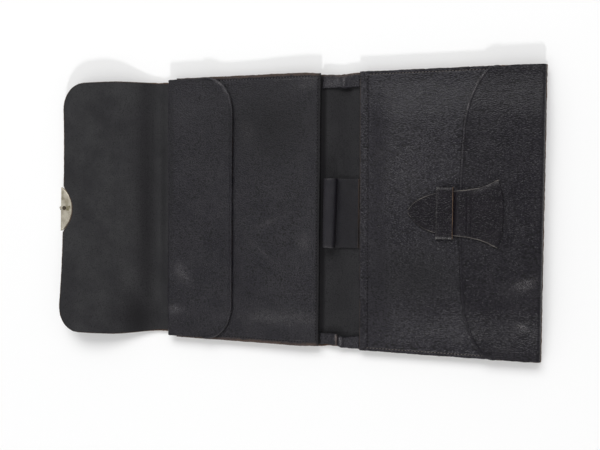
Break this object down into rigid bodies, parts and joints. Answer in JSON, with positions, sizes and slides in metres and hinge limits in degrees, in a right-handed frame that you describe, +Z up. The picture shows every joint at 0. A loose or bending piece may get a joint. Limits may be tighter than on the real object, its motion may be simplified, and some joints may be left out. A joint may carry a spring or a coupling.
{
  "type": "document wallet pouch",
  "caption": "Black leather document wallet lying open: closing flap with a nickel clasp, flap pockets on both panels, pencil loop and a tucked tongue.",
  "frame": {"origin": "on the surface it lies on, under the middle of the open wallet", "axes": "+X from the closing flap to the right panel, +Z up out of the inner side, +Y up the panels"},
  "size_m": [0.3228, 0.1718, 0.0128],
  "materials": {
    "cover_leather": "satin",
    "lining_leather": "matte",
    "pocket_leather": "satin",
    "clasp_nickel": "worn satin",
    "clasp_iron": "rusty"
  },
  "bodies": {
    "root": {"outer_cover": "cover_leather", "lining": "lining_leather", "left_pocket_envelope": "pocket_leather", "left_pocket_front": "pocket_leather", "right_pocket_envelope": "pocket_leather", "right_pocket_front": "pocket_leather", "tongue": "pocket_leather", "tongue_keeper": "pocket_leather", "pencil_loop": "pocket_leather", "spine_strip_upper": "cover_leather", "spine_strip_lower": "cover_leather", "clasp_plate": "clasp_nickel", "clasp_pin": "clasp_iron", "catch_plate": "clasp_nickel"}
  },
  "joints": []
}
